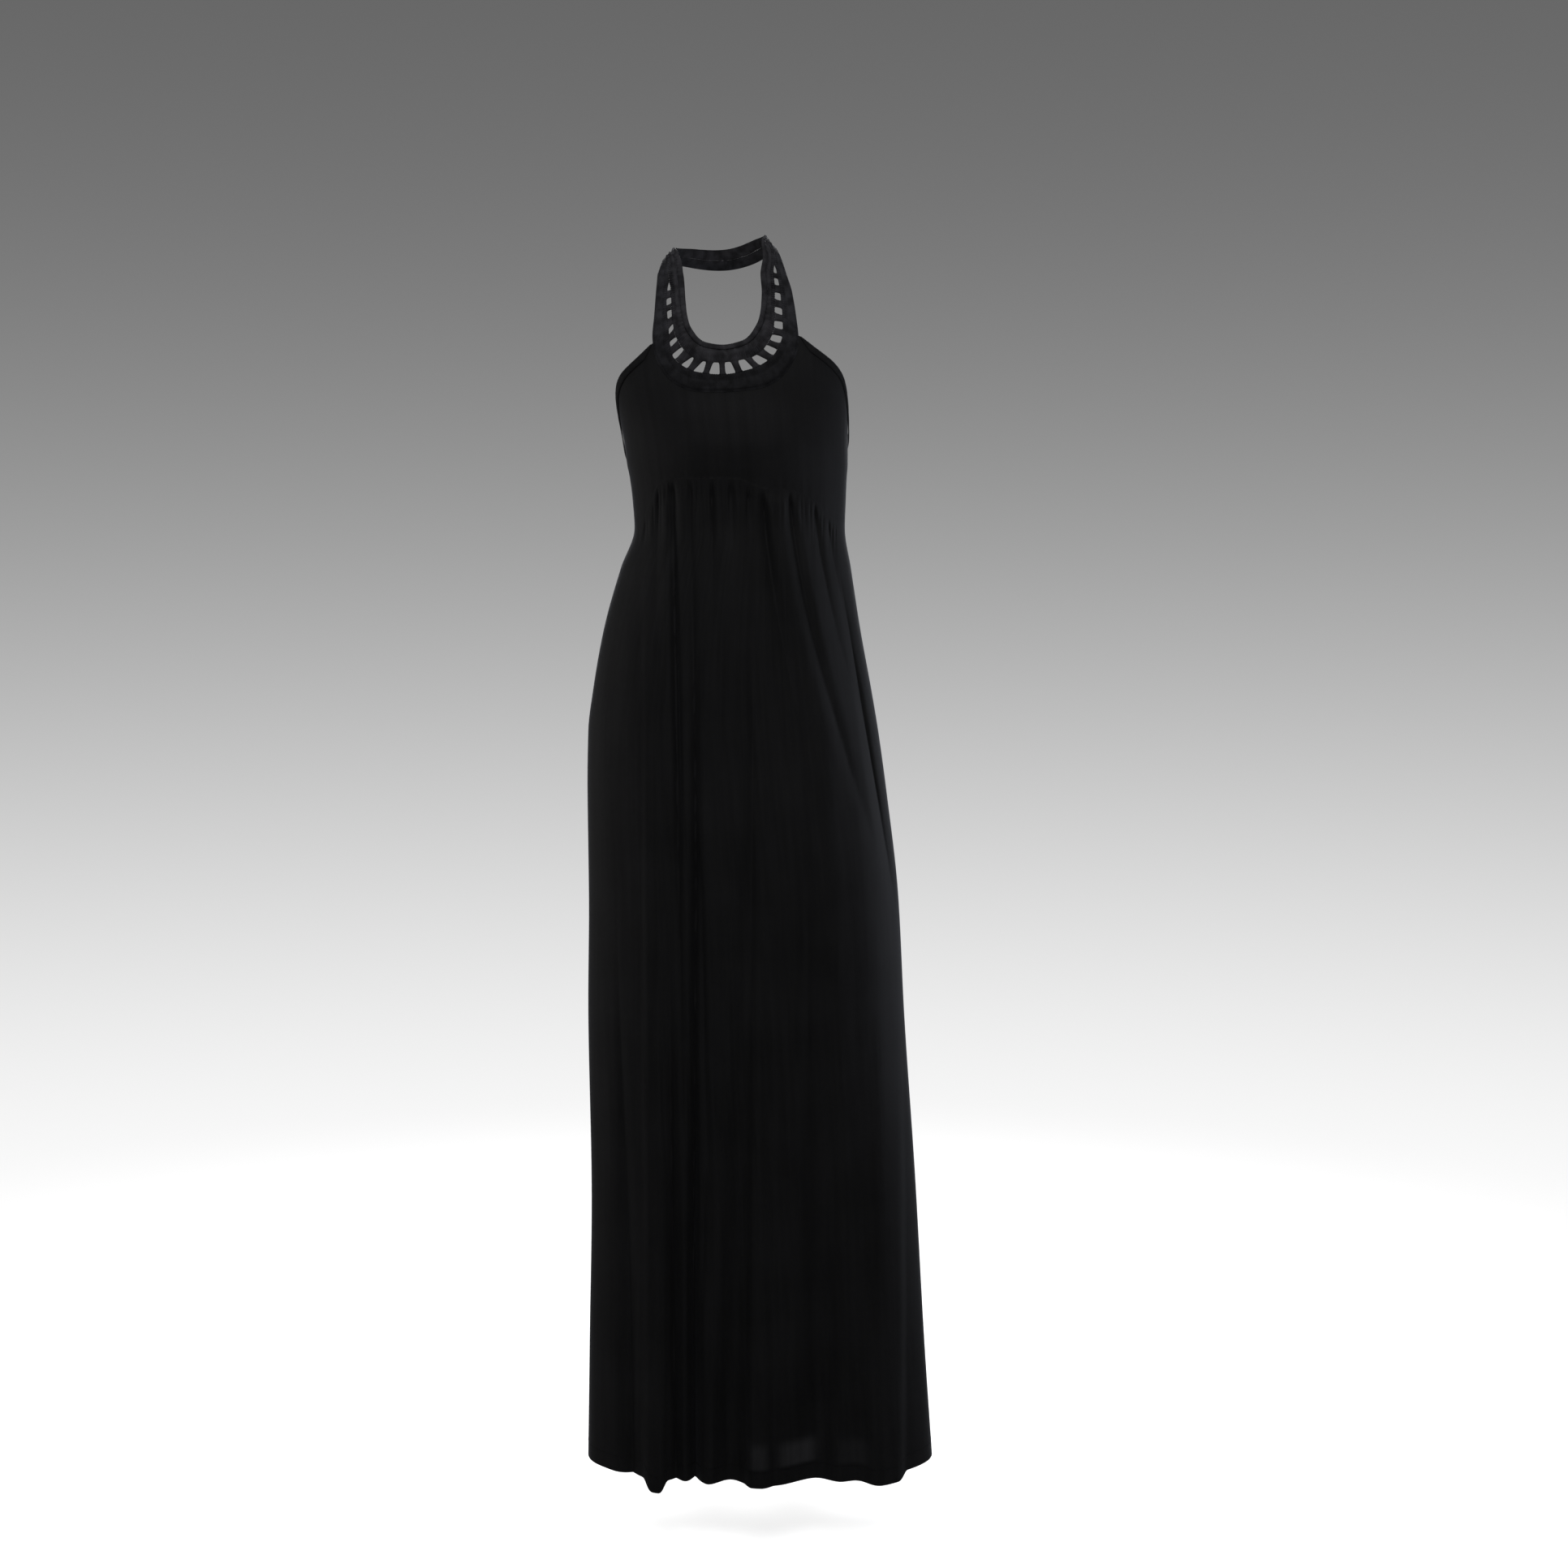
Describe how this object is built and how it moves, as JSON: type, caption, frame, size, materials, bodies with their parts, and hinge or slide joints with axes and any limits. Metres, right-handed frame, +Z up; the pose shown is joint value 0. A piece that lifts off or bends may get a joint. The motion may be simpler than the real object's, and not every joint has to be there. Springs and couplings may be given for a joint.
{
  "type": "halter maxi dress",
  "caption": "Floor-length empire-waist halter dress in its worn, hollow shape: openwork ladder collar, smooth bodice and a long gathered skirt with soft vertical folds.",
  "frame": {"origin": "on the axis of the wearer's neck at the height where the collar hangs on it, inside the collar's loop, about 1.51 m above the floor when worn", "axes": "+Z up, the dress's front faces -Y, +X is at the right of someone who looks at the front"},
  "size_m": [0.41, 0.2562, 1.4415],
  "materials": {
    "jersey": "matte black viscose jersey, with a faint grey bloom where it turns away"
  },
  "bodies": {
    "root": {"neck_binding": "jersey", "neck_band_inner": "jersey", "neck_band_outer": "jersey", "rung_01": "jersey", "rung_02": "jersey", "rung_03": "jersey", "rung_04": "jersey", "rung_05": "jersey", "rung_06": "jersey", "rung_07": "jersey", "rung_08": "jersey", "rung_09": "jersey", "rung_10": "jersey", "rung_11": "jersey", "rung_12": "jersey", "rung_13": "jersey", "rung_14": "jersey", "rung_15": "jersey", "rung_16": "jersey", "rung_17": "jersey", "rung_18": "jersey", "bodice_front": "jersey", "bodice_back": "jersey", "armhole_binding": "jersey", "skirt_front": "jersey", "skirt_back": "jersey"}
  },
  "joints": []
}
